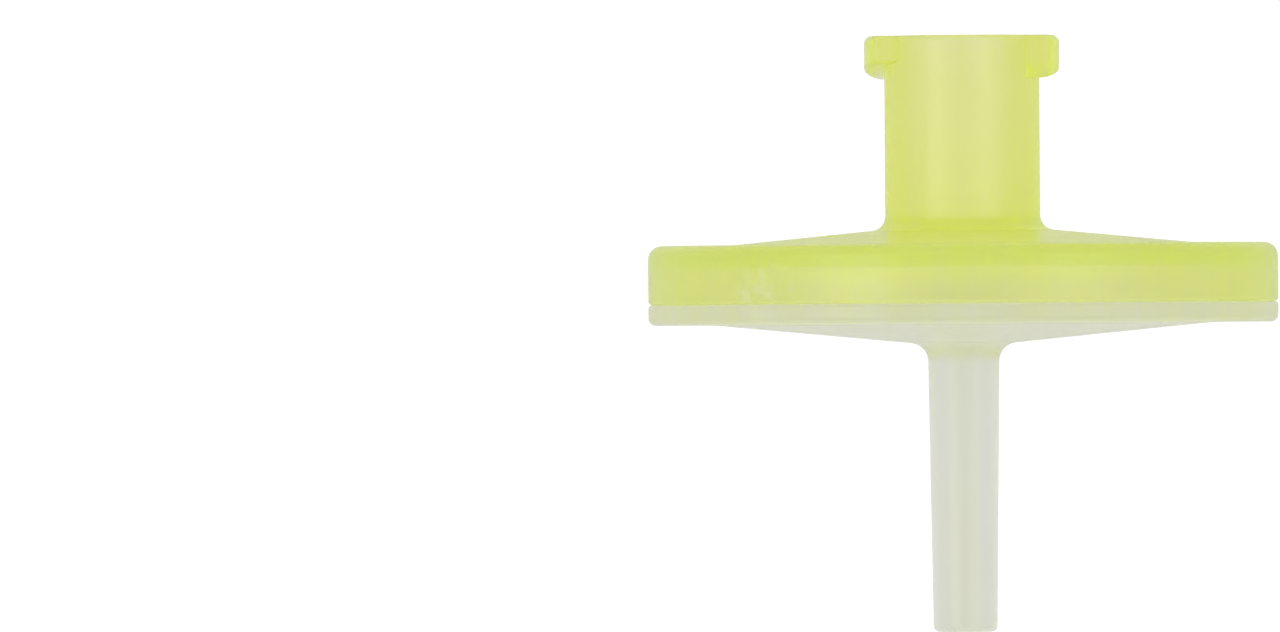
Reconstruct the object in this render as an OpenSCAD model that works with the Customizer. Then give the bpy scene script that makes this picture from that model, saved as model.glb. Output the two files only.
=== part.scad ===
// Syringe filter of the 25 mm class: an inlet shell with a female luer-lock hub is
// welded over an outlet shell with a tube tip, and a membrane disc is clamped between.
// Origin at the centre of the luer mouth, +Z out of the mouth, lugs along X.

/* [Luer inlet] */
// Diameter of the luer socket at its mouth
socket_mouth_d = 4.3; // [4.2:0.01:4.4]
// Depth of the luer socket
socket_depth = 7.5; // [6.5:0.1:9]
// Taper of the luer socket, as change of diameter over length, in percent
socket_taper = 6; // [4:0.5:8]
// Width of the lead-in chamfer at the socket's mouth
mouth_chamfer = 0.12; // [0.05:0.01:0.2]
// Outer diameter of the hub
hub_d = 6.2; // [5.8:0.1:6.6]
// Radius of the hub's top edge
hub_edge_r = 0.2; // [0.05:0.01:0.3]
// Radius of the fillet where the hub meets the crown
hub_fillet_r = 0.6; // [0.2:0.1:0.8]
// Diameter across the two locking lugs
lug_d = 7.8; // [7.4:0.1:8]
// Width of each lug, across the direction it points in
lug_w = 3.5; // [2.5:0.1:4]
// Height of a lug at its deep end
lug_h = 1.74; // [1.4:0.01:2.2]
// Slope of a lug's underside, which follows the thread of the mating collar
lug_ramp = 11; // [0:1:14]
// Radius of a lug's top edge
lug_top_r = 0.3; // [0.1:0.05:0.4]
// Radius of a lug's lower edge
lug_foot_r = 0.3; // [0.1:0.05:0.7]
// Thickness of the floor under the luer socket
socket_floor_t = 1.14; // [0.7:0.01:1.6]
// Diameter of the orifice through that floor
orifice_d = 0.8; // [0.5:0.1:1.6]

/* [Housing] */
// Outer diameter of the housing
housing_d = 25.2; // [24:0.1:30]
// Thickness of the inlet shell's crown
crown_t = 0.9; // [0.6:0.05:1.3]
// Slope of the crown, from the hub down to the rim
crown_angle = 5.5; // [2:0.5:10]
// Diameter at which the crown's slope ends in the flat rim land
crown_d = 18.8; // [15:0.1:21]
// Radius of the soft bend between crown and rim land
crown_blend_r = 10; // [2:1:14]
// Radius of the rim's top edge
rim_edge_r = 0.55; // [0.1:0.05:0.7]
// Height of the inlet shell's skirt, from the rim land to the seam
skirt_h = 2.35; // [2:0.05:3]
// Wall thickness of the skirt
skirt_t = 1.4; // [0.8:0.1:1.6]
// Thickness of the outlet shell's flange at its edge
flange_t = 0.83; // [0.6:0.01:1.2]
// Radius of the flange's lower edge
flange_edge_r = 0.3; // [0.1:0.05:0.4]
// Radius of the two edges that meet at the seam
seam_edge_r = 0.16; // [0.05:0.01:0.2]
// Diameter of the gate mark on the crown
gate_d = 0.9; // [0.5:0.1:1.4]
// Depth of the gate mark
gate_depth = 0.12; // [0.05:0.01:0.2]
// Distance of the gate mark from the axis
gate_reach = 5.8; // [5:0.1:7]
// Angle of the gate mark round the axis, from +X
gate_angle = 206; // [0:1:359]

/* [Membrane and seal] */
// Diameter of the membrane disc
membrane_d = 18.6; // [16:0.1:19.4]
// Thickness of the membrane disc
membrane_t = 0.15; // [0.1:0.01:0.25]
// Width of the membrane's clamped edge
seal_w = 0.5; // [0.3:0.05:0.8]
// Height of the clamp rib that presses on the membrane
clamp_h = 0.45; // [0.3:0.01:0.6]
// Width of the weld ridge at its foot, on top of the outlet shell's ring
ridge_w = 0.5; // [0.3:0.05:0.8]

/* [Flow ribs] */
// Number of radial channels through the ribs of both shells
channels = 8; // [4:1:12]
// Angle of the first radial channel, from +X
channel_angle = 18.5; // [0:0.5:45]
// Width of a channel through the inlet shell's ribs
spread_channel_w = 0.8; // [0.4:0.1:1]
// Mean radius of the inlet shell's first rib
spread_start_r = 3.5; // [3.4:0.1:4.5]
// Distance from one of the inlet shell's ribs to the next
spread_pitch = 1.2; // [0.9:0.1:1.8]
// Width of the inlet shell's ribs
spread_rib_w = 0.5; // [0.3:0.05:0.7]
// Clearance between the inlet shell's ribs and the membrane
spread_gap = 0.15; // [0.05:0.01:0.25]
// Width of a channel through the outlet shell's ribs
drain_channel_w = 0.6; // [0.3:0.1:0.8]
// Mean radius of the outlet shell's first rib
drain_start_r = 1.7; // [1.6:0.1:2.4]
// Distance from one of the outlet shell's ribs to the next
drain_pitch = 0.9; // [0.7:0.1:1.4]
// Width of the outlet shell's ribs, which the membrane lies on
drain_rib_w = 0.45; // [0.2:0.05:0.6]

/* [Outlet] */
// Thickness of the outlet shell under its drain ribs
floor_t = 1.1; // [0.8:0.05:1.3]
// Slope of the outlet shell's cone, from the flange down to the tube
cone_angle = 5.5; // [2:0.5:8]
// Diameter at which the flat flange bends into the cone
cone_d = 20; // [15:0.1:21]
// Radius of the soft bend between flange and cone
cone_blend_r = 10; // [2:1:14]
// Distance from the flange's underside to the end of the tube
tube_reach = 12.32; // [6:0.01:20]
// Diameter of the tube where it leaves the cone
tube_root_d = 2.84; // [2.7:0.02:3.4]
// Diameter of the tube at its end
tube_tip_d = 2.55; // [2.4:0.01:2.8]
// Radius of the fillet where the tube meets the cone
tube_fillet_r = 0.75; // [0.2:0.05:1]
// Radius of the tube's end edge
tube_edge_r = 0.25; // [0.05:0.01:0.3]
// Diameter of the bore through the tube
bore_d = 1.4; // [0.8:0.1:1.6]
// Width of the chamfer where the bore leaves the drain floor
bore_chamfer = 0.3; // [0.1:0.05:0.5]

/* [Clearances] */
// Clearance between the outlet shell's ring and the skirt round it
ring_gap = 0.05; // [0.02:0.01:0.1]
// Clearance between the top of that ring and the crown, bridged by the weld ridge
weld_gap = 0.05; // [0.02:0.01:0.1]
// Clearance round the edge of the membrane and of the clamp rib, in the ring
pocket_gap = 0.05; // [0.02:0.01:0.1]

/* [Hidden] */
$fn = 96;

// Straight steps in a quarter turn of an edge radius
edge_steps = 6;
// Length by which a cut runs past the face it opens
past = 1;
// Depth by which the weld ridge is rooted in the ring that carries it
rooted = 0.4;

// Radii
hub_r = hub_d / 2;
lug_r = lug_d / 2;
housing_r = housing_d / 2;
crown_r = crown_d / 2;
cone_r = cone_d / 2;
socket_mouth_r = socket_mouth_d / 2;
socket_floor_r = socket_mouth_r - socket_depth * socket_taper / 200;
skirt_in_r = housing_r - skirt_t;
ring_r = skirt_in_r - ring_gap;
membrane_r = membrane_d / 2;
pocket_r = membrane_r + pocket_gap;
chamber_r = membrane_r - seal_w;
tube_root_r = tube_root_d / 2;
tube_tip_r = tube_tip_d / 2;
bore_r = bore_d / 2;

// Heights, from the luer mouth down
crown_drop = (crown_r - hub_r) * tan(crown_angle);
ceiling_z = -socket_depth - socket_floor_t;
plate_z = ceiling_z - crown_drop;
rim_z = plate_z + crown_t;
seam_z = rim_z - skirt_h;
clamp_z = plate_z - clamp_h;
seat_z = clamp_z - membrane_t;
ring_z = plate_z - weld_gap;
flange_z = seam_z - flange_t;
tip_z = flange_z - tube_reach;

// Height of the crown's upper slope, and of the cone's lower slope, at a radius
function crown_z(r) = rim_z + (crown_r - r) * tan(crown_angle);
function cone_z(r) = flange_z - (cone_r - r) * tan(cone_angle);

// Points of an arc about a centre, from one angle to another
function arc(centre, r, from, to) =
    let (steps = max(2, ceil(edge_steps * abs(to - from) / 90)))
    [for (i = [0 : steps]) let (a = from + (to - from) * i / steps)
        centre + r * [cos(a), sin(a)]];

// Half section of the inlet shell's outside, filled in to the axis
function inlet_outline() = concat(
    [[0, 0]],
    arc([hub_r - hub_edge_r, -hub_edge_r], hub_edge_r, 90, 0),
    arc([hub_r + hub_fillet_r, crown_z(hub_r + hub_fillet_r) + hub_fillet_r / cos(crown_angle)],
        hub_fillet_r, 180, 270 - crown_angle),
    arc([crown_r + crown_blend_r * tan(crown_angle / 2), rim_z + crown_blend_r],
        crown_blend_r, 270 - crown_angle, 270),
    arc([housing_r - rim_edge_r, rim_z - rim_edge_r], rim_edge_r, 90, 0),
    arc([housing_r - seam_edge_r, seam_z + seam_edge_r], seam_edge_r, 0, -90),
    [[0, seam_z]]
);

// Half section of the outlet shell's outside, filled in to the axis
function outlet_outline() = concat(
    [[0, ring_z], [ring_r, ring_z], [ring_r, seam_z]],
    arc([housing_r - seam_edge_r, seam_z - seam_edge_r], seam_edge_r, 90, 0),
    arc([housing_r - flange_edge_r, flange_z + flange_edge_r], flange_edge_r, 0, -90),
    arc([cone_r + cone_blend_r * tan(cone_angle / 2), flange_z - cone_blend_r],
        cone_blend_r, 90, 90 + cone_angle),
    arc([tube_root_r + tube_fillet_r,
         cone_z(tube_root_r + tube_fillet_r) - tube_fillet_r / cos(cone_angle)],
        tube_fillet_r, 90 + cone_angle, 180),
    arc([tube_tip_r - tube_edge_r, tip_z + tube_edge_r], tube_edge_r, 0, -90),
    [[0, tip_z]]
);

// A ring about the axis, between two radii and two heights
module ring(inner, outer, bottom, top) {
    rotate_extrude()
        translate([inner, bottom])
            square([outer - inner, top - bottom]);
}

// Ribs in rings about the axis, cut into sectors by the radial channels
module sectored_ribs(start_r, pitch, rib_w, channel_w, bottom, top) {
    difference() {
        for (r = [start_r : pitch : chamber_r - rib_w])
            ring(r - rib_w / 2, r + rib_w / 2, bottom, top);
        for (i = [0 : channels - 1])
            rotate([0, 0, channel_angle + i * 360 / channels])
                translate([0, -channel_w / 2, bottom - past])
                    cube([chamber_r + past, channel_w, top - bottom + 2 * past]);
    }
}

// One locking lug, pointing along +X, with a sloped underside
module lug() {
    ramp_rise = lug_w * tan(lug_ramp);
    intersection() {
        rotate_extrude()
            polygon(concat(
                [[0, 0]],
                arc([lug_r - lug_top_r, -lug_top_r], lug_top_r, 90, 0),
                arc([lug_r - lug_foot_r, lug_foot_r - lug_h], lug_foot_r, 0, -90),
                [[0, -lug_h]]
            ));
        rotate([90, 0, 90])
            linear_extrude(lug_r + past)
                polygon([
                    [-lug_w / 2, -lug_h],
                    [lug_w / 2, ramp_rise - lug_h],
                    [lug_w / 2, past],
                    [-lug_w / 2, past]
                ]);
    }
}

// The tapered luer socket, its lead-in and the orifice in its floor
module luer_passage() {
    translate([0, 0, -socket_depth])
        cylinder(r1 = socket_floor_r, r2 = socket_mouth_r, h = socket_depth);
    translate([0, 0, -mouth_chamfer])
        cylinder(
            r1 = socket_mouth_r,
            r2 = socket_mouth_r + mouth_chamfer + past,
            h = mouth_chamfer + past
        );
    translate([0, 0, ceiling_z - past])
        cylinder(d = orifice_d, h = socket_floor_t + 2 * past);
}

// The space under the crown, inside the skirt, round the ribs that stand in it
module crown_recess() {
    difference() {
        rotate_extrude()
            polygon([
                [0, ceiling_z],
                [hub_r, ceiling_z],
                [crown_r, plate_z],
                [skirt_in_r, plate_z],
                [skirt_in_r, seam_z - past],
                [0, seam_z - past]
            ]);
        // Clamp rib that presses on the membrane's edge
        ring(chamber_r, membrane_r, clamp_z, ceiling_z + past);
        // Ribs that spread the flow over the membrane
        sectored_ribs(spread_start_r, spread_pitch, spread_rib_w, spread_channel_w,
            clamp_z + spread_gap, ceiling_z + past);
    }
}

// The space under the membrane, with a floor that falls to the bore
module drain_recess() {
    difference() {
        rotate_extrude()
            polygon([
                [0, cone_z(0) + floor_t],
                [chamber_r, cone_z(chamber_r) + floor_t],
                [chamber_r, seat_z + past],
                [0, seat_z + past]
            ]);
        // Ribs that the membrane lies on
        sectored_ribs(drain_start_r, drain_pitch, drain_rib_w, drain_channel_w,
            cone_z(0), seat_z);
    }
}

// The bore through the tube, and its chamfer at the drain floor
module outlet_bore() {
    translate([0, 0, tip_z - past])
        cylinder(r = bore_r, h = seat_z - tip_z);
    translate([0, 0, cone_z(bore_r) + floor_t - bore_chamfer])
        cylinder(r1 = bore_r, r2 = bore_r + 2 * bore_chamfer, h = 2 * bore_chamfer);
}

// The ridge on top of the outlet shell's ring, flattened against the crown by the weld
module weld_ridge() {
    rotate_extrude()
        translate([(pocket_r + ring_r) / 2, ring_z])
            polygon([
                [-ridge_w / 2, -rooted],
                [ridge_w / 2, -rooted],
                [ridge_w / 2, 0],
                [ridge_w / 4, weld_gap],
                [-ridge_w / 4, weld_gap],
                [-ridge_w / 2, 0]
            ]);
}

// The round mark left by the moulding gate
module gate_mark() {
    rotate([0, 0, gate_angle])
        translate([gate_reach, 0, crown_z(gate_reach) - gate_depth])
            cylinder(d = gate_d, h = past);
}

module inlet_housing() {
    color([0.84, 0.89, 0.38])
        difference() {
            union() {
                rotate_extrude() polygon(inlet_outline());
                lug();
                rotate([0, 0, 180]) lug();
            }
            luer_passage();
            crown_recess();
            gate_mark();
        }
}

module outlet_housing() {
    color([0.87, 0.88, 0.83])
        union() {
            difference() {
                rotate_extrude() polygon(outlet_outline());
                // Pocket that holds the membrane's edge and the clamp rib
                ring(0, pocket_r, seat_z, ring_z + past);
                drain_recess();
                outlet_bore();
            }
            weld_ridge();
        }
}

module membrane() {
    color([0.96, 0.96, 0.93])
        translate([0, 0, seat_z])
            cylinder(r = membrane_r, h = membrane_t);
}

inlet_housing();
outlet_housing();
membrane();
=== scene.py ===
"""Syringe filter: a yellow inlet shell and a milky outlet shell, welded round a membrane.

Everything is in metres. The origin is the centre of the luer mouth, +Z points out of
the mouth, and the two locking lugs point along X.
"""

import math

import bmesh
import bpy
from bpy.props import FloatProperty, FloatVectorProperty, IntProperty, PointerProperty
from mathutils import Matrix, Vector


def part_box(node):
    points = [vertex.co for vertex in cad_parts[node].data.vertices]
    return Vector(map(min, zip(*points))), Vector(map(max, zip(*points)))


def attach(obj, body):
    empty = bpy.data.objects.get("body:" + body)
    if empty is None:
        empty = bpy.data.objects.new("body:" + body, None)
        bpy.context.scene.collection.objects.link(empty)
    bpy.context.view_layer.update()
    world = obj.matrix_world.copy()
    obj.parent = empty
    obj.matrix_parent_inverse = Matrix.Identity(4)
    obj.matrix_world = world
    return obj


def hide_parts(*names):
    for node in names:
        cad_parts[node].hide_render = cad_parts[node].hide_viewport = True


bl_info = {
    "name": "Syringe Filter",
    "version": (1, 0, 0),
    "blender": (4, 5, 0),
    "location": "3D View > Sidebar > Syringe Filter",
    "description": "Makes a syringe filter in moulded plastic, and a plain studio round it",
    "category": "Add Mesh",
}

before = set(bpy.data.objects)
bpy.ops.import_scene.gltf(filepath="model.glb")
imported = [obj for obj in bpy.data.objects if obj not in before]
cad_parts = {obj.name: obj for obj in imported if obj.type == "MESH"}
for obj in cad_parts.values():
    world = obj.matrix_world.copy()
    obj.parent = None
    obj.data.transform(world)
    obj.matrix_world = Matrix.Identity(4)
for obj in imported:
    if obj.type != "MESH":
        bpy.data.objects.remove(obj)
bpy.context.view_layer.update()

MM = 0.001
INLET_LOW, INLET_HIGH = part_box("inlet_housing")
OUTLET_LOW, OUTLET_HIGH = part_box("outlet_housing")
MEMBRANE_LOW, MEMBRANE_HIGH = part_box("membrane")

HOUSING_RADIUS = INLET_HIGH.x
MEMBRANE_RADIUS = MEMBRANE_HIGH.x
SEAM = INLET_LOW.z
PLATE = OUTLET_HIGH.z
SEAT = MEMBRANE_LOW.z
CLAMP = MEMBRANE_HIGH.z
TIP = OUTLET_LOW.z

# Faces that meet in the real filter stand this far apart, so that light passes them cleanly
CONTACT_GAP = 0.005 * MM
# Points nearer to each other than this are one point
SAME_SPOT = 1e-8
# Faces that meet at a sharper angle than this show an edge
EDGE_ANGLE = math.radians(28)
# How far the ribs and the lugs reach into the wall that they stand on
RIB_ROOT = 0.3 * MM
LUG_ROOT = 0.4 * MM
# Straight steps along a rib, across a lug, down a lug and round the gate mark
RIB_STEPS = 24
LUG_STEPS_ACROSS = 40
LUG_STEPS_DOWN = 20
GATE_STEPS = 48

# Refractive index of polypropylene
PLASTIC_IOR = 1.49
# Height of the skins' fine texture
GRAIN_HEIGHT = 0.01 * MM
# Light crosses many clear walls before it leaves the filter
BOUNCES = 40
# Strength at which the backdrop shows as pure white
WHITE = 1.05
# Width of the camera's sensor, in the millimetres of Blender's lenses
SENSOR = 36.0


# ---------------------------------------------------------------------------
# Settings
# ---------------------------------------------------------------------------


def length(label, description, millimetres):
    """A length setting, given in millimetres and kept in metres."""
    return FloatProperty(
        name=label,
        description=description,
        default=millimetres * MM,
        min=0.0,
        precision=5,
        subtype="DISTANCE",
        unit="LENGTH",
    )


def point(label, description, millimetres):
    """A place setting, given in millimetres and kept in metres."""
    return FloatVectorProperty(
        name=label,
        description=description,
        default=tuple(c * MM for c in millimetres),
        size=3,
        subtype="TRANSLATION",
        unit="LENGTH",
    )


def angle(label, description, degrees):
    """An angle setting, given in degrees and kept in radians."""
    return FloatProperty(
        name=label,
        description=description,
        default=math.radians(degrees),
        subtype="ANGLE",
        unit="ROTATION",
    )


def share(label, description, value):
    """A setting from 0 to 1."""
    return FloatProperty(
        name=label,
        description=description,
        default=value,
        min=0.0,
        max=1.0,
        subtype="FACTOR",
    )


def colour(label, description, value):
    """A colour setting."""
    return FloatVectorProperty(
        name=label,
        description=description,
        default=value,
        min=0.0,
        max=1.0,
        size=3,
        subtype="COLOR",
    )


def amount(label, description, value):
    """A number of 0 or more."""
    return FloatProperty(name=label, description=description, default=value, min=0.0)


class InletSizes(bpy.types.PropertyGroup):
    """Sizes of the inlet shell"""

    mouth_diameter: length("Mouth Diameter", "Luer socket at its mouth", 4.3)
    socket_depth: length("Socket Depth", "Depth of the luer socket", 7.5)
    socket_taper: share("Socket Taper", "Change of diameter over length", 0.06)
    mouth_chamfer: length("Mouth Chamfer", "Lead-in at the socket's mouth", 0.12)
    hub_diameter: length("Hub Diameter", "Outside of the luer hub", 6.2)
    hub_edge: length("Hub Edge", "Radius of the hub's top edge", 0.2)
    hub_fillet: length("Hub Fillet", "Radius between hub and crown", 0.6)
    lug_diameter: length("Lug Diameter", "Diameter across the two lugs", 7.8)
    lug_width: length("Lug Width", "Width of a lug, across its direction", 3.5)
    lug_height: length("Lug Height", "Height of a lug at its deep end", 1.74)
    lug_ramp: angle("Lug Ramp", "Slope of a lug's underside", 11.0)
    lug_top_edge: length("Lug Top Edge", "Radius of a lug's top edge", 0.3)
    lug_foot_edge: length("Lug Foot Edge", "Radius of a lug's lower edge", 0.3)
    lug_side_edge: length("Lug Side Edge", "Radius of a lug's side edges", 0.12)
    floor_thickness: length("Floor Thickness", "Floor under the socket", 1.14)
    orifice_diameter: length("Orifice Diameter", "Hole in that floor", 0.8)
    crown_thickness: length("Crown Thickness", "Wall over the chamber", 0.9)
    crown_angle: angle("Crown Angle", "Slope from the hub down to the rim", 5.5)
    crown_diameter: length("Crown Diameter", "Where the slope ends in the rim land", 18.8)
    crown_blend: length("Crown Blend", "Radius of the bend at the rim land", 10.0)
    rim_edge: length("Rim Edge", "Radius of the rim's top edge", 0.55)
    skirt_thickness: length("Skirt Thickness", "Wall of the skirt", 1.4)
    seam_edge: length("Seam Edge", "Radius of the edges at the seam", 0.16)
    gate_diameter: length("Gate Diameter", "Gate mark on the crown", 0.9)
    gate_depth: length("Gate Depth", "Depth of the gate mark", 0.12)
    gate_reach: length("Gate Reach", "Gate mark's distance from the axis", 5.8)
    gate_angle: angle("Gate Angle", "Direction of the gate mark from +X", 206.0)
    rib_start: length("Rib Start", "Mean radius of the first rib", 3.5)
    rib_pitch: length("Rib Pitch", "Distance from one rib to the next", 1.2)
    rib_width: length("Rib Width", "Width of a rib", 0.5)
    rib_gap: length("Rib Gap", "Clearance between the ribs and the membrane", 0.15)
    channel_width: length("Channel Width", "Width of a channel through the ribs", 0.8)


class OutletSizes(bpy.types.PropertyGroup):
    """Sizes of the outlet shell"""

    ring_gap: length("Ring Gap", "Clearance between ring and skirt", 0.05)
    weld_gap: length("Weld Gap", "Clearance over the ring, bridged by the ridge", 0.05)
    pocket_gap: length("Pocket Gap", "Clearance round the membrane", 0.05)
    ridge_width: length("Ridge Width", "Foot of the weld ridge", 0.5)
    seam_edge: length("Seam Edge", "Radius of the edges at the seam", 0.16)
    flange_thickness: length("Flange Thickness", "Flange at its edge", 0.83)
    flange_edge: length("Flange Edge", "Radius of the flange's lower edge", 0.3)
    floor_thickness: length("Floor Thickness", "Wall under the drain ribs", 1.1)
    cone_angle: angle("Cone Angle", "Slope from the flange down to the tube", 5.5)
    cone_diameter: length("Cone Diameter", "Where the flange bends into the cone", 20.0)
    cone_blend: length("Cone Blend", "Radius of that bend", 10.0)
    root_diameter: length("Root Diameter", "Tube where it leaves the cone", 2.84)
    tip_diameter: length("Tip Diameter", "Tube at its end", 2.55)
    tube_fillet: length("Tube Fillet", "Radius between tube and cone", 0.75)
    tube_edge: length("Tube Edge", "Radius of the tube's end edge", 0.25)
    bore_diameter: length("Bore Diameter", "Bore through the tube", 1.4)
    bore_chamfer: length("Bore Chamfer", "Chamfer at the drain floor", 0.3)
    rib_start: length("Rib Start", "Mean radius of the first rib", 1.7)
    rib_pitch: length("Rib Pitch", "Distance from one rib to the next", 0.9)
    rib_width: length("Rib Width", "Width of a rib", 0.45)
    channel_width: length("Channel Width", "Width of a channel through the ribs", 0.6)


class ChamberSizes(bpy.types.PropertyGroup):
    """Sizes that both shells and the membrane share"""

    seal_width: length("Seal Width", "Width of the membrane's clamped edge", 0.5)
    channels: IntProperty(
        name="Channels",
        description="Radial channels through the ribs of both shells",
        default=8,
        min=3,
    )
    channel_angle: angle("Channel Angle", "Direction of the first channel", 18.5)
    turns: IntProperty(
        name="Turns",
        description="Steps in a full turn of each moulding",
        default=256,
        min=48,
    )


class Finishes(bpy.types.PropertyGroup):
    """Colours and clarity of the three materials"""

    inlet_tint: colour("Inlet Tint", "Body colour of the inlet shell", (0.985, 1.0, 0.96))
    inlet_depth: colour("Inlet Depth", "Colour that its thick places turn to", (0.991, 1.0, 0.25))
    inlet_density: amount("Inlet Density", "How fast they turn to it, per metre", 700.0)
    inlet_cloud: share("Inlet Cloud", "Share of the light that its milky skin scatters", 0.14)
    inlet_gloss: share("Inlet Gloss", "Strength of the clear shine on its skin", 0.2)
    inlet_roughness: share("Inlet Roughness", "How much its faces blur what shows through", 0.36)
    outlet_tint: colour("Outlet Tint", "Body colour of the outlet shell", (0.945, 0.951, 0.945))
    outlet_depth: colour("Outlet Depth", "Colour that its thick places turn to", (0.98, 0.99, 0.85))
    outlet_density: amount("Outlet Density", "How fast they turn to it, per metre", 70.0)
    outlet_cloud: share("Outlet Cloud", "Share of the light that its milky skin scatters", 0.1)
    outlet_gloss: share("Outlet Gloss", "Strength of the clear shine on its skin", 0.3)
    outlet_roughness: share("Outlet Roughness", "How much its faces blur what shows through", 0.36)
    membrane_tint: colour("Membrane Tint", "Colour of the membrane", (0.95, 0.95, 0.93))
    rub_place: point("Rub Place", "Middle of the rubbed place on the rim", (-7.9, -9.8, -10.5))
    rub_reach: length("Rub Reach", "How far the rubbed place reaches", 2.2)
    rub_cloud: share("Rub Cloud", "Share of the clearness that the rubbing takes", 0.2)
    rub_tint: colour("Rub Tint", "Colour of the rubbed specks", (0.95, 0.97, 0.84))


class Studio(bpy.types.PropertyGroup):
    """Camera, floor and light"""

    distance: length("Camera Distance", "From the camera to the filter", 1000.0)
    field_width: length("Field Width", "Width of the view at the filter", 51.2)
    centre_height: length("Centre Height", "Depth of the view's centre under the mouth", 11.22)
    roll: angle("Roll", "Tilt of the camera about its axis", -0.42)
    shift: FloatProperty(
        name="Shift",
        description="Sideways shift of the view, as a share of its width",
        default=-0.2527,
        precision=4,
    )
    floor_depth: length("Floor Depth", "Floor's distance under the mouth", 60.0)
    surround: share("Surround", "Brightness of the room round the filter", 0.7)
    box_angle: angle("Box Angle", "Turn of the soft boxes away from the camera", 41.0)
    box_lift: angle("Box Lift", "Height of the soft boxes over the filter", 5.0)
    box_light: amount("Box Light", "Brightness of the left soft box", 1.2)
    right_share: share("Right Share", "Right box's brightness beside the left one's", 0.7)
    table_light: amount("Table Light", "Brightness of the lamp under the filter", 0.28)


def settings(group):
    """The scene's settings of one kind."""
    return getattr(bpy.context.scene, "filter_" + group)


# ---------------------------------------------------------------------------
# Shapes
# ---------------------------------------------------------------------------


def arc(centre, radius, start, end, steps=8):
    """Points (radius, height) along an arc, between two angles in degrees."""
    points = []
    for i in range(steps + 1):
        a = math.radians(start + (end - start) * i / steps)
        points.append((centre[0] + radius * math.cos(a), centre[1] + radius * math.sin(a)))
    return points


def supported(outline, reach=0.06 * MM):
    """The closed outline with a point close to each end of every long straight side."""
    points = []
    for i, here in enumerate(outline):
        there = outline[(i + 1) % len(outline)]
        a = Vector(here)
        b = Vector(there)
        side = (b - a).length
        if side < SAME_SPOT:
            continue
        points.append(here)
        if side > 4 * reach:
            points.append(tuple(a.lerp(b, reach / side)))
            points.append(tuple(b.lerp(a, reach / side)))
    return points


def new_object(name, data):
    """A new object in the scene for a mesh, lamp or camera."""
    made = bpy.data.objects.new(name, data)
    bpy.context.scene.collection.objects.link(made)
    return made


def written(work, mesh):
    """Turns the faces of a bmesh outward, writes it to the mesh and frees it."""
    bmesh.ops.recalc_face_normals(work, faces=work.faces)
    work.to_mesh(mesh)
    work.free()
    return mesh


def lathe(name, outline, turns):
    """A solid of revolution about Z from a half section, closed where it meets the axis."""
    work = bmesh.new()
    poles = {i: work.verts.new((0, 0, z)) for i, (r, z) in enumerate(outline) if r == 0}
    rows = []
    for k in range(turns):
        a = math.tau * k / turns
        row = []
        for i, (r, z) in enumerate(outline):
            spot = (r * math.cos(a), r * math.sin(a), z)
            row.append(poles[i] if i in poles else work.verts.new(spot))
        rows.append(row)
    for k in range(turns):
        row = rows[k]
        beside = rows[(k + 1) % turns]
        for i in range(len(outline)):
            j = (i + 1) % len(outline)
            corners = list(dict.fromkeys((row[i], beside[i], beside[j], row[j])))
            if len(corners) > 2:
                work.faces.new(corners)
    return new_object(name, written(work, bpy.data.meshes.new(name)))


def loft(name, sections):
    """A closed solid through a row of sections, each a closed ring of points."""
    work = bmesh.new()
    rows = [[work.verts.new(point) for point in section] for section in sections]
    for row, beside in zip(rows, rows[1:]):
        for i in range(len(row)):
            j = (i + 1) % len(row)
            work.faces.new((row[i], beside[i], beside[j], row[j]))
    work.faces.new(rows[0])
    work.faces.new(rows[-1])
    return new_object(name, written(work, bpy.data.meshes.new(name)))


def frozen(piece):
    """Turns the modifiers' result into the object's own mesh and removes them."""
    depsgraph = bpy.context.evaluated_depsgraph_get()
    mesh = bpy.data.meshes.new_from_object(piece.evaluated_get(depsgraph))
    piece.modifiers.clear()
    piece.data = mesh


def combine(piece, tool, operation):
    """Adds the tool to the piece or cuts it away, and deletes the tool."""
    modifier = piece.modifiers.new("Combine", "BOOLEAN")
    modifier.object = tool
    modifier.operation = operation
    modifier.solver = "EXACT"
    frozen(piece)
    bpy.data.objects.remove(tool)


def finished(piece, node, material):
    """Smooths the piece, gives it its material and puts it in the CAD node's place."""
    mesh = piece.data
    work = bmesh.new()
    work.from_mesh(mesh)
    bmesh.ops.remove_doubles(work, verts=work.verts, dist=SAME_SPOT)
    written(work, mesh)
    mesh.polygons.foreach_set("use_smooth", [True] * len(mesh.polygons))
    mesh.set_sharp_from_angle(angle=EDGE_ANGLE)
    mesh.materials.clear()
    mesh.materials.append(material)
    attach(piece, "root")
    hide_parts(node)


# ---------------------------------------------------------------------------
# Wiring of node trees
# ---------------------------------------------------------------------------


class Wiring:
    """Short-hand for wiring a node tree."""

    def __init__(self, tree):
        self.tree = tree
        self.tree.nodes.clear()

    def node(self, kind, **values):
        """A node, with its properties set."""
        made = self.tree.nodes.new(kind)
        for key, value in values.items():
            setattr(made, key, value)
        return made

    def feed(self, socket, value):
        """Links an output to an input, or sets the input's own value."""
        if isinstance(value, bpy.types.NodeSocket):
            self.tree.links.new(value, socket)
        else:
            socket.default_value = value

    def fed(self, kind, inputs):
        """A node, with its named inputs linked or set."""
        made = self.node(kind)
        for name, value in inputs.items():
            self.feed(made.inputs[name], value)
        return made

    def maths(self, operation, *values):
        """A Math node on one, two or three values."""
        made = self.node("ShaderNodeMath", operation=operation)
        for socket, value in zip(made.inputs, values):
            self.feed(socket, value)
        return made.outputs[0]

    def either(self, factor, first, second):
        """The first shader where the factor is 0, the second where it is 1."""
        made = self.node("ShaderNodeMixShader")
        for socket, value in zip(made.inputs, (factor, first, second)):
            self.feed(socket, value)
        return made.outputs[0]


# ---------------------------------------------------------------------------
# Sectored ribs, by geometry nodes
# ---------------------------------------------------------------------------


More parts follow.
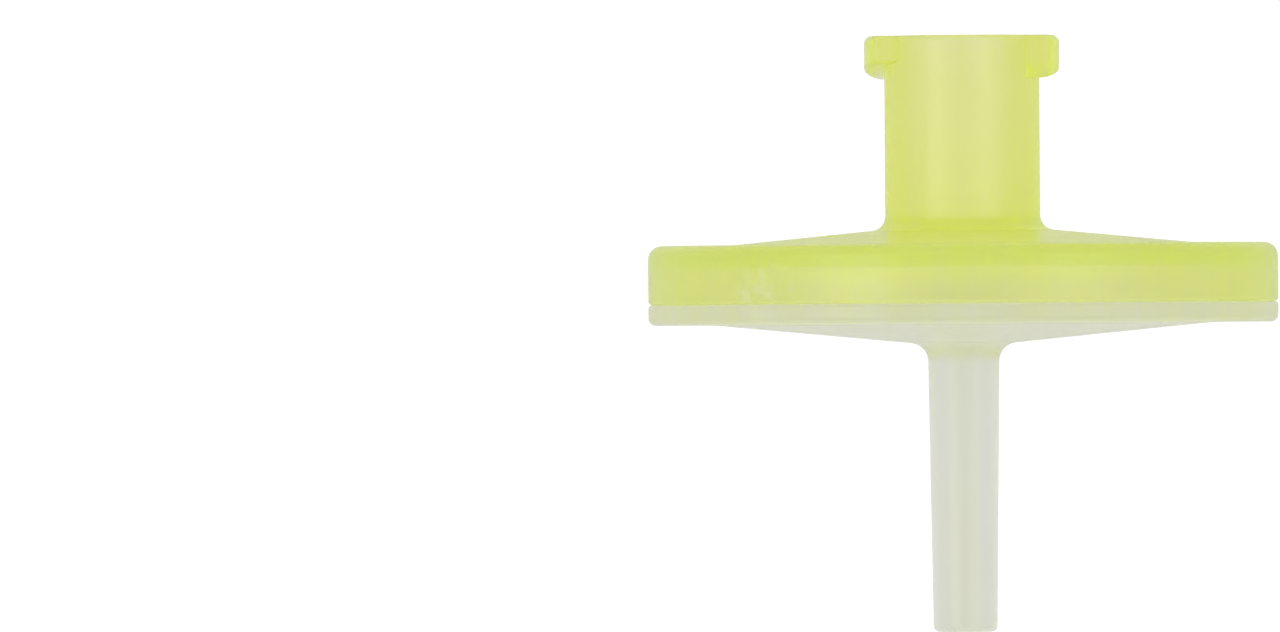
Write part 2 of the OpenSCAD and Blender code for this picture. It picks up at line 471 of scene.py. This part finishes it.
def rib_tree():
    """Rings of ribs about Z, cut into sectors by straight radial channels."""
    t = Wiring(bpy.data.node_groups.new("Sectored Ribs", "GeometryNodeTree"))
    face = t.tree.interface
    for label, kind in (
        ("First Radius", "NodeSocketFloat"),
        ("Pitch", "NodeSocketFloat"),
        ("Rings", "NodeSocketInt"),
        ("Rib Width", "NodeSocketFloat"),
        ("Channels", "NodeSocketInt"),
        ("Channel Width", "NodeSocketFloat"),
        ("Channel Angle", "NodeSocketFloat"),
        ("Crest Height", "NodeSocketFloat"),
        ("Root Height", "NodeSocketFloat"),
        ("Root Slope", "NodeSocketFloat"),
        ("Plastic", "NodeSocketMaterial"),
    ):
        face.new_socket(name=label, in_out="INPUT", socket_type=kind)
    face.new_socket(name="Geometry", in_out="OUTPUT", socket_type="NodeSocketGeometry")
    given = t.node("NodeGroupInput").outputs

    count = t.maths("MULTIPLY", given["Rings"], given["Channels"])
    spots = t.node("GeometryNodePoints")
    t.feed(spots.inputs["Count"], count)
    keep = t.node("GeometryNodeCaptureAttribute", domain="POINT")
    keep.capture_items.new("INT", "Number")
    t.feed(keep.inputs["Geometry"], spots.outputs[0])
    t.feed(keep.inputs["Number"], t.node("GeometryNodeInputIndex").outputs[0])

    # One rib is a unit block, long along X, that is bent round the axis further on
    block = t.fed("GeometryNodeMeshCube", {"Size": (1, 1, 1), "Vertices X": RIB_STEPS + 1})
    copies = t.node("GeometryNodeInstanceOnPoints")
    t.feed(copies.inputs["Points"], keep.outputs["Geometry"])
    t.feed(copies.inputs["Instance"], block.outputs["Mesh"])
    real = t.node("GeometryNodeRealizeInstances")
    t.feed(real.inputs[0], copies.outputs[0])

    number = keep.outputs["Number"]
    sector = t.maths("FLOORED_MODULO", number, given["Channels"])
    ring = t.maths("FLOOR", t.maths("DIVIDE", number, given["Channels"]))
    place = t.node("ShaderNodeSeparateXYZ")
    t.feed(place.inputs[0], t.node("GeometryNodeInputPosition").outputs[0])
    along, across, up = place.outputs

    radius = t.maths("MULTIPLY_ADD", ring, given["Pitch"], given["First Radius"])
    radius = t.maths("MULTIPLY_ADD", across, given["Rib Width"], radius)
    step = t.maths("DIVIDE", math.tau, given["Channels"])
    half_channel = t.maths("MULTIPLY", given["Channel Width"], 0.5)
    half_gap = t.maths("ARCSINE", t.maths("DIVIDE", half_channel, radius))
    reach = t.maths("SUBTRACT", step, t.maths("MULTIPLY", half_gap, 2.0))
    middle = t.maths("MULTIPLY_ADD", t.maths("ADD", sector, 0.5), step, given["Channel Angle"])
    turn = t.maths("MULTIPLY_ADD", along, reach, middle)

    fall = t.maths("MULTIPLY", radius, t.maths("TANGENT", given["Root Slope"]))
    root = t.maths("ADD", given["Root Height"], fall)
    lift = t.maths("ADD", up, 0.5)
    rise = t.maths("SUBTRACT", root, given["Crest Height"])
    height = t.maths("MULTIPLY_ADD", lift, rise, given["Crest Height"])

    spot = t.node("ShaderNodeCombineXYZ")
    t.feed(spot.inputs[0], t.maths("MULTIPLY", radius, t.maths("COSINE", turn)))
    t.feed(spot.inputs[1], t.maths("MULTIPLY", radius, t.maths("SINE", turn)))
    t.feed(spot.inputs[2], height)
    bend = t.node("GeometryNodeSetPosition")
    t.feed(bend.inputs["Geometry"], real.outputs[0])
    t.feed(bend.inputs["Position"], spot.outputs[0])
    last = t.node("GeometryNodeRealizeInstances")
    t.feed(last.inputs[0], bend.outputs[0])
    dress = t.node("GeometryNodeSetMaterial")
    t.feed(dress.inputs["Geometry"], last.outputs[0])
    t.feed(dress.inputs["Material"], given["Plastic"])
    t.feed(t.node("NodeGroupOutput").inputs[0], dress.outputs[0])
    return t.tree


def sectored_ribs(name, values, material):
    """A plain mesh of ribs, made by the tree from values named as its inputs."""
    tree = bpy.data.node_groups.get("Sectored Ribs") or rib_tree()
    piece = new_object(name, bpy.data.meshes.new(name))
    modifier = piece.modifiers.new("Ribs", "NODES")
    modifier.node_group = tree
    values = dict(values, Plastic=material)
    for item in tree.interface.items_tree:
        if item.in_out == "INPUT":
            modifier[item.identifier] = values[item.name]
    frozen(piece)
    work = bmesh.new()
    work.from_mesh(piece.data)
    written(work, piece.data)
    return piece


# ---------------------------------------------------------------------------
# Materials
# ---------------------------------------------------------------------------


class Shader(Wiring):
    """Short-hand for wiring a material."""

    def __init__(self, name):
        self.material = bpy.data.materials.new(name)
        self.material.use_nodes = True
        super().__init__(self.material.node_tree)
        self.output = self.node("ShaderNodeOutputMaterial")
        self.place = self.node("ShaderNodeTexCoord").outputs["Object"]

    def stretched(self, scale):
        """Object coordinates that draw a pattern out along an axis whose scale is under 1."""
        return self.fed("ShaderNodeMapping", {"Vector": self.place, "Scale": scale}).outputs[0]

    def noise(self, place, scale, detail, roughness=0.5):
        """Even noise from 0 to 1."""
        inputs = {"Vector": place, "Scale": scale, "Detail": detail, "Roughness": roughness}
        return self.fed("ShaderNodeTexNoise", inputs).outputs["Fac"]

    def remap(self, value, low, high, to_low, to_high):
        """A value moved from one range to another."""
        inputs = {"From Min": low, "From Max": high, "To Min": to_low, "To Max": to_high}
        return self.fed("ShaderNodeMapRange", {"Value": value, **inputs}).outputs["Result"]

    def blend(self, factor, first, second):
        """A colour between two colours, each of them fixed or from another node."""
        mix = self.node("ShaderNodeMix", data_type="RGBA")
        self.feed(mix.inputs[0], factor)
        for socket, value in zip(mix.inputs[6:8], (first, second)):
            self.feed(socket, (*value, 1) if isinstance(value, tuple) else value)
        return mix.outputs[2]

    def patch(self, centre, reach):
        """1 round a place, falling to 0 at its reach."""
        core = 0.3 * reach
        apart = self.node("ShaderNodeVectorMath", operation="DISTANCE")
        self.feed(apart.inputs[0], self.place)
        self.feed(apart.inputs[1], centre)
        return self.remap(apart.outputs["Value"], core, reach, 1, 0)

    def grained(self, height, strength):
        """A normal that follows the fine texture of a skin."""
        inputs = {"Height": height, "Strength": strength, "Distance": GRAIN_HEIGHT}
        return self.fed("ShaderNodeBump", inputs).outputs[0]


def moulded_plastic(name, kind):
    """Clouded polypropylene: most of the light passes it, and its skin scatters the rest."""
    f = settings("finishes")
    tint = tuple(getattr(f, kind + "_tint"))
    deep = (tint[0] * 0.99, tint[1] * 0.995, tint[2] * 0.86)
    rough = getattr(f, kind + "_roughness")
    rough_spread = 0.02
    cloud = getattr(f, kind + "_cloud")
    gloss = getattr(f, kind + "_gloss")
    s = Shader(name)

    # Faint draw marks run along the axis, the way that the mould opened
    marks = s.noise(s.stretched((1, 1, 0.06)), scale=1100.0, detail=3.0)
    plain = s.blend(s.remap(marks, 0.35, 0.65, 0, 1), tint, deep)
    grain = s.noise(s.stretched((1, 1, 0.12)), scale=2600.0, detail=2.0)
    # Handling has left a few pale specks at one place of the rim
    specks = s.remap(s.noise(s.place, scale=2000.0, detail=3.0), 0.48, 0.66, 0, 1)
    rubbed = s.maths("MULTIPLY", s.patch(f.rub_place, f.rub_reach), specks)
    # The cloud and the shine are on the skin only, so light inside the wall isn't lost on them
    inside = s.node("ShaderNodeNewGeometry").outputs["Backfacing"]
    clear = s.remap(inside, 0, 1, 1 - cloud, 1)
    clear = s.maths("MULTIPLY", clear, s.remap(rubbed, 0, 1, 1, 1 - f.rub_cloud))
    body = s.fed(
        "ShaderNodeBsdfPrincipled",
        {
            "Base Color": s.blend(rubbed, plain, tuple(f.rub_tint)),
            "Roughness": s.remap(grain, 0.3, 0.7, rough - rough_spread, rough + rough_spread),
            "Normal": s.grained(grain, 0.15),
            "IOR": PLASTIC_IOR,
            "Specular IOR Level": 0.35,
            "Transmission Weight": clear,
            "Coat Weight": s.remap(inside, 0, 1, gloss, 0),
            "Coat Roughness": 0.06,
            "Coat IOR": PLASTIC_IOR,
        },
    )
    s.feed(s.output.inputs["Surface"], body.outputs[0])
    depth = s.fed(
        "ShaderNodeVolumeAbsorption",
        {
            "Color": (*getattr(f, kind + "_depth"), 1),
            "Density": getattr(f, kind + "_density"),
        },
    )
    s.feed(s.output.inputs["Volume"], depth.outputs[0])
    return s.material


def porous_membrane():
    """The membrane's white, matt, finely porous sheet."""
    tint = tuple(settings("finishes").membrane_tint)
    shade = tuple(c * 0.96 for c in tint)
    s = Shader("porous_membrane")
    pores = s.noise(s.place, scale=9000.0, detail=4.0, roughness=0.7)
    cloud = s.noise(s.place, scale=500.0, detail=3.0)
    sheet = s.fed(
        "ShaderNodeBsdfPrincipled",
        {
            "Base Color": s.blend(s.remap(cloud, 0.3, 0.7, 0, 1), tint, shade),
            "Roughness": s.remap(pores, 0.3, 0.7, 0.75, 0.95),
            "Normal": s.grained(pores, 0.4),
            "Specular IOR Level": 0.2,
        },
    )
    s.feed(s.output.inputs["Surface"], sheet.outputs[0])
    return s.material


# ---------------------------------------------------------------------------
# Pieces
# ---------------------------------------------------------------------------


def chamber_radius():
    """Radius of the chamber's wall, which is where the membrane's clamped edge begins."""
    return MEMBRANE_RADIUS - settings("chamber").seal_width


def inlet_levels(s):
    """Heights of the chamber's ceiling at the axis and of the rim land."""
    ceiling = -s.socket_depth - s.floor_thickness
    return ceiling, PLATE + s.crown_thickness


def inlet_outline(s):
    """Half section of the inlet shell, without lugs, ribs and gate mark."""
    chamber_r = chamber_radius()
    ceiling, rim = inlet_levels(s)
    slope = math.tan(s.crown_angle)
    bend = math.degrees(s.crown_angle)
    hub = s.hub_diameter / 2
    crown = s.crown_diameter / 2
    skirt_in = HOUSING_RADIUS - s.skirt_thickness
    mouth = s.mouth_diameter / 2
    floor = mouth - s.socket_depth * s.socket_taper / 2
    orifice = s.orifice_diameter / 2
    foot = hub + s.hub_fillet
    foot_height = rim + (crown - foot) * slope + s.hub_fillet / math.cos(s.crown_angle)
    soft = 0.12 * MM
    orifice_edge = 0.08 * MM
    floor_corner = 0.2 * MM

    def under(radius):
        """Height of the crown's underside."""
        return PLATE + max(0.0, crown - radius) * slope

    points = [(mouth + s.mouth_chamfer, 0.0)]
    points += arc((hub - s.hub_edge, -s.hub_edge), s.hub_edge, 90, 0)
    points += arc((foot, foot_height), s.hub_fillet, 180, 270 - bend, 12)
    blend_centre = (crown + s.crown_blend * math.tan(s.crown_angle / 2), rim + s.crown_blend)
    points += arc(blend_centre, s.crown_blend, 270 - bend, 270)
    rim_centre = (HOUSING_RADIUS - s.rim_edge, rim - s.rim_edge)
    points += arc(rim_centre, s.rim_edge, 90, 0, 12)
    seam_centre = (HOUSING_RADIUS - s.seam_edge, SEAM + s.seam_edge)
    points += arc(seam_centre, s.seam_edge, 0, -90)
    points += [(skirt_in, SEAM)]
    points += arc((skirt_in - soft, PLATE - soft), soft, 0, 90, 4)
    points += [(crown, PLATE), (MEMBRANE_RADIUS, under(MEMBRANE_RADIUS))]
    points += arc((MEMBRANE_RADIUS - soft, CLAMP + soft), soft, 0, -90, 4)
    points += arc((chamber_r + soft, CLAMP + soft), soft, -90, -180, 4)
    points += [(chamber_r, under(chamber_r)), (hub, ceiling)]
    points += [(orifice + orifice_edge, ceiling), (orifice, ceiling + orifice_edge)]
    points += [(orifice, -s.socket_depth - orifice_edge)]
    points += [(orifice + orifice_edge, -s.socket_depth)]
    corner_centre = (floor - floor_corner, -s.socket_depth + floor_corner)
    points += arc(corner_centre, floor_corner, -90, 0, 5)
    points += [(mouth, -s.mouth_chamfer)]
    return supported(points)


def rounded_off(radius, over):
    """How far an edge of this radius has drawn back, this deep into its rounding."""
    if over <= 0:
        return 0.0
    return radius - math.sqrt(max(0.0, radius**2 - over**2))


def eased(count):
    """Steps from 0 to 1 that lie closer together at both ends."""
    return [(1 - math.cos(math.pi * i / count)) / 2 for i in range(count + 1)]


def lug(s, side):
    """One locking lug, on the side of +X or -X, with its sloped underside."""
    half = s.lug_width / 2
    root = s.hub_diameter / 2 - LUG_ROOT
    sections = []
    for along in eased(LUG_STEPS_ACROSS):
        y = half * (2 * along - 1)
        inset = rounded_off(s.lug_side_edge, s.lug_side_edge - (half - abs(y)))
        out = math.sqrt((s.lug_diameter / 2) ** 2 - y**2) - inset
        low = (y + half) * math.tan(s.lug_ramp) - s.lug_height + inset
        # Just under the hub's end, so that the two faces don't lie in one plane
        top = -CONTACT_GAP / 2 - inset * 0.5
        inner = math.sqrt(root**2 - y**2)
        ring = [(side * inner, side * y, top)]
        for down in eased(LUG_STEPS_DOWN):
            z = top + (low - top) * down
            x = out
            x -= rounded_off(s.lug_top_edge, z + s.lug_top_edge)
            x -= rounded_off(s.lug_foot_edge, s.lug_foot_edge - s.lug_height - z)
            x -= rounded_off(s.lug_side_edge, s.lug_side_edge - (z - low))
            ring.append((side * x, side * y, z))
        ring.append((side * inner, side * y, low))
        sections.append(ring)
    return loft("lug", sections)


def gate_cutter(s):
    """The shallow dish that the moulding gate leaves, with a small stub in its middle."""
    reach = s.gate_reach
    crown = s.crown_diameter / 2
    rim = inlet_levels(s)[1]
    height = rim + (crown - reach) * math.tan(s.crown_angle)
    radius = s.gate_diameter / 2
    above = 1.0 * MM
    # Shares of the mark's radius and of its depth, from the stub's top out to the raised lip
    section = ((0, 0.35), (0.25, 0.45), (0.4, 1.0), (0.75, 1.0), (1.0, -0.1))
    outline = [(0, above)]
    outline += [(radius * out, -s.gate_depth * down) for out, down in section]
    outline += [(radius * 1.1, above)]
    cutter = lathe("gate", outline, GATE_STEPS)
    lean = Matrix.Rotation(s.crown_angle, 4, "Y")
    spot = Matrix.Translation((reach, 0, height))
    turn = Matrix.Rotation(s.gate_angle, 4, "Z")
    cutter.data.transform(turn @ spot @ lean)
    return cutter


def shell_ribs(name, s, crest, root, slope, plastic):
    """The ribs of one shell, from their flat crest to the sloping wall that they stand on."""
    c = settings("chamber")
    room = chamber_radius() - s.rib_width - s.rib_start
    # The last ring may end exactly where the room does
    allowance = 1e-6
    values = {
        "First Radius": s.rib_start,
        "Pitch": s.rib_pitch,
        "Rings": int(room / s.rib_pitch + allowance) + 1,
        "Rib Width": s.rib_width,
        "Channels": c.channels,
        "Channel Width": s.channel_width,
        "Channel Angle": c.channel_angle,
        "Crest Height": crest,
        "Root Height": root,
        "Root Slope": slope,
    }
    return sectored_ribs(name, values, plastic)


class FILTER_OT_inlet_shell(bpy.types.Operator):
    """Make the yellow inlet shell with its luer hub, lugs and flow ribs"""

    bl_idname = "syringe_filter.inlet_shell"
    bl_label = "Inlet Shell"

    def execute(self, context):
        s = settings("inlet")
        plastic = moulded_plastic("yellow_plastic", "inlet")
        shell = lathe("inlet_shell", inlet_outline(s), settings("chamber").turns)
        for side in (1, -1):
            combine(shell, lug(s, side), "UNION")
        crest = CLAMP + s.rib_gap
        root = PLATE + s.crown_diameter / 2 * math.tan(s.crown_angle) + RIB_ROOT
        ribs = shell_ribs("flow_ribs", s, crest, root, -s.crown_angle, plastic)
        combine(shell, ribs, "UNION")
        combine(shell, gate_cutter(s), "DIFFERENCE")
        finished(shell, "inlet_housing", plastic)
        return {"FINISHED"}


def outlet_levels(s):
    """Height of the flange's underside, and the cone's slope."""
    return SEAM - s.flange_thickness, math.tan(s.cone_angle)


def outlet_outline(s):
    """Half section of the outlet shell, without its ribs."""
    chamber_r = chamber_radius()
    pocket_r = MEMBRANE_RADIUS + s.pocket_gap
    flange, slope = outlet_levels(s)
    bend = math.degrees(s.cone_angle)
    ring_r = HOUSING_RADIUS - settings("inlet").skirt_thickness - s.ring_gap
    ring_top = PLATE - s.weld_gap
    cone = s.cone_diameter / 2
    root = s.root_diameter / 2
    tip = s.tip_diameter / 2
    bore = s.bore_diameter / 2
    ridge = (pocket_r + ring_r) / 2
    seam = SEAM - CONTACT_GAP
    soft = 0.08 * MM

    def cone_height(radius):
        """Height of the cone's underside."""
        return flange - (cone - radius) * slope

    points = [
        (ridge - s.ridge_width / 2, ring_top),
        (ridge - s.ridge_width / 4, PLATE - CONTACT_GAP),
        (ridge + s.ridge_width / 4, PLATE - CONTACT_GAP),
        (ridge + s.ridge_width / 2, ring_top),
    ]
    points += arc((ring_r - soft, ring_top - soft), soft, 90, 0, 4)
    points += [(ring_r, seam)]
    edge = s.seam_edge
    points += arc((HOUSING_RADIUS - edge, seam - edge), edge, 90, 0)
    flange_centre = (HOUSING_RADIUS - s.flange_edge, flange + s.flange_edge)
    points += arc(flange_centre, s.flange_edge, 0, -90)
    blend_centre = (cone + s.cone_blend * math.tan(s.cone_angle / 2), flange - s.cone_blend)
    points += arc(blend_centre, s.cone_blend, 90, 90 + bend)
    neck = root + s.tube_fillet
    neck_height = cone_height(neck) - s.tube_fillet / math.cos(s.cone_angle)
    points += arc((neck, neck_height), s.tube_fillet, 90 + bend, 180, 12)
    points += arc((tip - s.tube_edge, TIP + s.tube_edge), s.tube_edge, 0, -90)
    points += arc((bore + soft, TIP + soft), soft, -90, -180, 4)
    chamfer = s.bore_chamfer
    floor = cone_height(bore) + s.floor_thickness
    points += [(bore, floor - chamfer)]
    edge_r = bore + chamfer * (1 + slope) / (1 - slope)
    points += [(edge_r, cone_height(edge_r) + s.floor_thickness)]
    points += [(chamber_r, cone_height(chamber_r) + s.floor_thickness)]
    points += [(chamber_r, SEAT), (pocket_r, SEAT)]
    points += arc((pocket_r + soft, ring_top - soft), soft, 180, 90, 4)
    return supported(points)


class FILTER_OT_outlet_shell(bpy.types.Operator):
    """Make the milky outlet shell with its drain ribs and its tube"""

    bl_idname = "syringe_filter.outlet_shell"
    bl_label = "Outlet Shell"

    def execute(self, context):
        s = settings("outlet")
        plastic = moulded_plastic("milky_plastic", "outlet")
        flange, slope = outlet_levels(s)
        shell = lathe("outlet_shell", outlet_outline(s), settings("chamber").turns)
        floor = flange - s.cone_diameter / 2 * slope + s.floor_thickness
        ribs = shell_ribs("drain_ribs", s, SEAT, floor - RIB_ROOT, s.cone_angle, plastic)
        combine(shell, ribs, "UNION")
        finished(shell, "outlet_housing", plastic)
        return {"FINISHED"}


class FILTER_OT_membrane(bpy.types.Operator):
    """Make the membrane disc that the two shells clamp"""

    bl_idname = "syringe_filter.membrane"
    bl_label = "Membrane"

    def execute(self, context):
        edge = 0.03 * MM
        radius = MEMBRANE_RADIUS
        top = CLAMP - CONTACT_GAP
        bottom = SEAT + CONTACT_GAP
        outline = [(0, bottom), (radius / 3, bottom), (radius * 2 / 3, bottom)]
        outline += arc((radius - edge, bottom + edge), edge, -90, 0, 4)
        outline += arc((radius - edge, top - edge), edge, 0, 90, 4)
        outline += [(radius * 2 / 3, top), (radius / 3, top), (0, top)]
        disc = lathe("membrane_disc", outline, settings("chamber").turns)
        finished(disc, "membrane", porous_membrane())
        return {"FINISHED"}


# ---------------------------------------------------------------------------
# Studio
# ---------------------------------------------------------------------------


def studio_floor(height):
    """A plain pale floor under the filter, seen by the camera only, and only from above."""
    half = 0.3
    corners = [(-half, -half, height), (half, -half, height)]
    corners += [(half, half, height), (-half, half, height)]
    mesh = bpy.data.meshes.new("studio_floor")
    mesh.from_pydata(corners, [], [(0, 1, 2, 3)])
    floor = new_object("studio_floor", mesh)
    floor.visible_diffuse = False
    floor.visible_glossy = False
    floor.visible_transmission = False
    floor.visible_shadow = False
    material = bpy.data.materials.new("pale_floor")
    material.use_nodes = True
    w = Wiring(material.node_tree)
    paint = w.fed("ShaderNodeEmission", {"Color": (1, 1, 1, 1), "Strength": WHITE})
    clear = w.node("ShaderNodeBsdfTransparent")
    below = w.node("ShaderNodeNewGeometry").outputs["Backfacing"]
    shown = w.either(below, paint.outputs[0], clear.outputs[0])
    w.fed("ShaderNodeOutputMaterial", {"Surface": shown})
    mesh.materials.append(material)


def soft_box(name, turn, lift, reach, size, radiance):
    """A large soft lamp that faces the filter, turned about it from the camera's side."""
    lamp = bpy.data.lights.new(name, "AREA")
    lamp.shape = "RECTANGLE"
    lamp.size, lamp.size_y = size
    lamp.energy = radiance * math.pi * lamp.size * lamp.size_y
    level = math.cos(lift)
    away = Vector((math.sin(turn) * level, -math.cos(turn) * level, math.sin(lift)))
    holder = new_object(name, lamp)
    holder.location = away * reach + Vector((0, 0, SEAM))
    holder.rotation_euler = (-away).to_track_quat("-Z", "Y").to_euler()


def studio_world(surround):
    """An even pale room: white behind the filter, a little softer where it lights it."""
    world = bpy.data.worlds.new("studio")
    world.use_nodes = True
    w = Wiring(world.node_tree)
    room = w.fed("ShaderNodeBackground", {"Color": (1, 1, 1, 1), "Strength": surround})
    backdrop = w.fed("ShaderNodeBackground", {"Color": (1, 1, 1, 1), "Strength": WHITE})
    seen = w.node("ShaderNodeLightPath").outputs["Is Camera Ray"]
    shown = w.either(seen, room.outputs[0], backdrop.outputs[0])
    w.fed("ShaderNodeOutputWorld", {"Surface": shown})
    bpy.context.scene.world = world


class FILTER_OT_studio(bpy.types.Operator):
    """Set up the camera, the pale floor and the soft light"""

    bl_idname = "syringe_filter.studio"
    bl_label = "Studio"

    def execute(self, context):
        s = settings("studio")
        scene = context.scene
        scene.view_settings.view_transform = "Standard"
        scene.cycles.max_bounces = BOUNCES
        scene.cycles.diffuse_bounces = BOUNCES
        scene.cycles.glossy_bounces = BOUNCES
        scene.cycles.transmission_bounces = BOUNCES
        scene.cycles.blur_glossy = 0.0
        data = bpy.data.cameras.new("camera")
        data.sensor_width = SENSOR
        data.lens = SENSOR * s.distance / s.field_width
        data.shift_x = s.shift
        data.clip_end = 10.0
        camera = new_object("camera", data)
        camera.location = (0, -s.distance, -s.centre_height)
        aim = Vector((0, 1, 0)).to_track_quat("-Z", "Y").to_matrix().to_4x4()
        camera.rotation_euler = (aim @ Matrix.Rotation(s.roll, 4, "Z")).to_euler()
        scene.camera = camera
        studio_world(s.surround)
        studio_floor(-s.floor_depth)
        reach = 1.0
        size = (0.45, 0.9)
        right_light = s.box_light * s.right_share
        soft_box("left_box", -s.box_angle, s.box_lift, reach, size, s.box_light)
        soft_box("right_box", s.box_angle, s.box_lift, reach, size, right_light)
        straight_down = math.radians(-90)
        table_reach = 0.3
        table_size = (0.8, 0.8)
        soft_box("table_box", 0.0, straight_down, table_reach, table_size, s.table_light)
        return {"FINISHED"}


# ---------------------------------------------------------------------------
# Panel and registration
# ---------------------------------------------------------------------------


class FILTER_PT_pieces(bpy.types.Panel):
    """Lists the pieces of the filter"""

    bl_label = "Syringe Filter"
    bl_space_type = "VIEW_3D"
    bl_region_type = "UI"
    bl_category = "Syringe Filter"

    def draw(self, context):
        column = self.layout.column()
        column.operator(FILTER_OT_inlet_shell.bl_idname)
        column.operator(FILTER_OT_outlet_shell.bl_idname)
        column.operator(FILTER_OT_membrane.bl_idname)
        column.operator(FILTER_OT_studio.bl_idname)


GROUPS = {
    "filter_inlet": InletSizes,
    "filter_outlet": OutletSizes,
    "filter_chamber": ChamberSizes,
    "filter_finishes": Finishes,
    "filter_studio": Studio,
}
OPERATORS = (
    FILTER_OT_inlet_shell,
    FILTER_OT_outlet_shell,
    FILTER_OT_membrane,
    FILTER_OT_studio,
)


def register():
    """Registers the settings, the operators and the panel."""
    for name, group in GROUPS.items():
        bpy.utils.register_class(group)
        setattr(bpy.types.Scene, name, PointerProperty(type=group))
    for operator in OPERATORS:
        bpy.utils.register_class(operator)
    bpy.utils.register_class(FILTER_PT_pieces)


def unregister():
    """Removes them again."""
    bpy.utils.unregister_class(FILTER_PT_pieces)
    for operator in reversed(OPERATORS):
        bpy.utils.unregister_class(operator)
    for name, group in reversed(GROUPS.items()):
        delattr(bpy.types.Scene, name)
        bpy.utils.unregister_class(group)


def main():
    """Makes the filter and its studio."""
    register()
    bpy.ops.syringe_filter.studio()
    bpy.ops.syringe_filter.inlet_shell()
    bpy.ops.syringe_filter.outlet_shell()
    bpy.ops.syringe_filter.membrane()


if __name__ == "__main__":
    main()
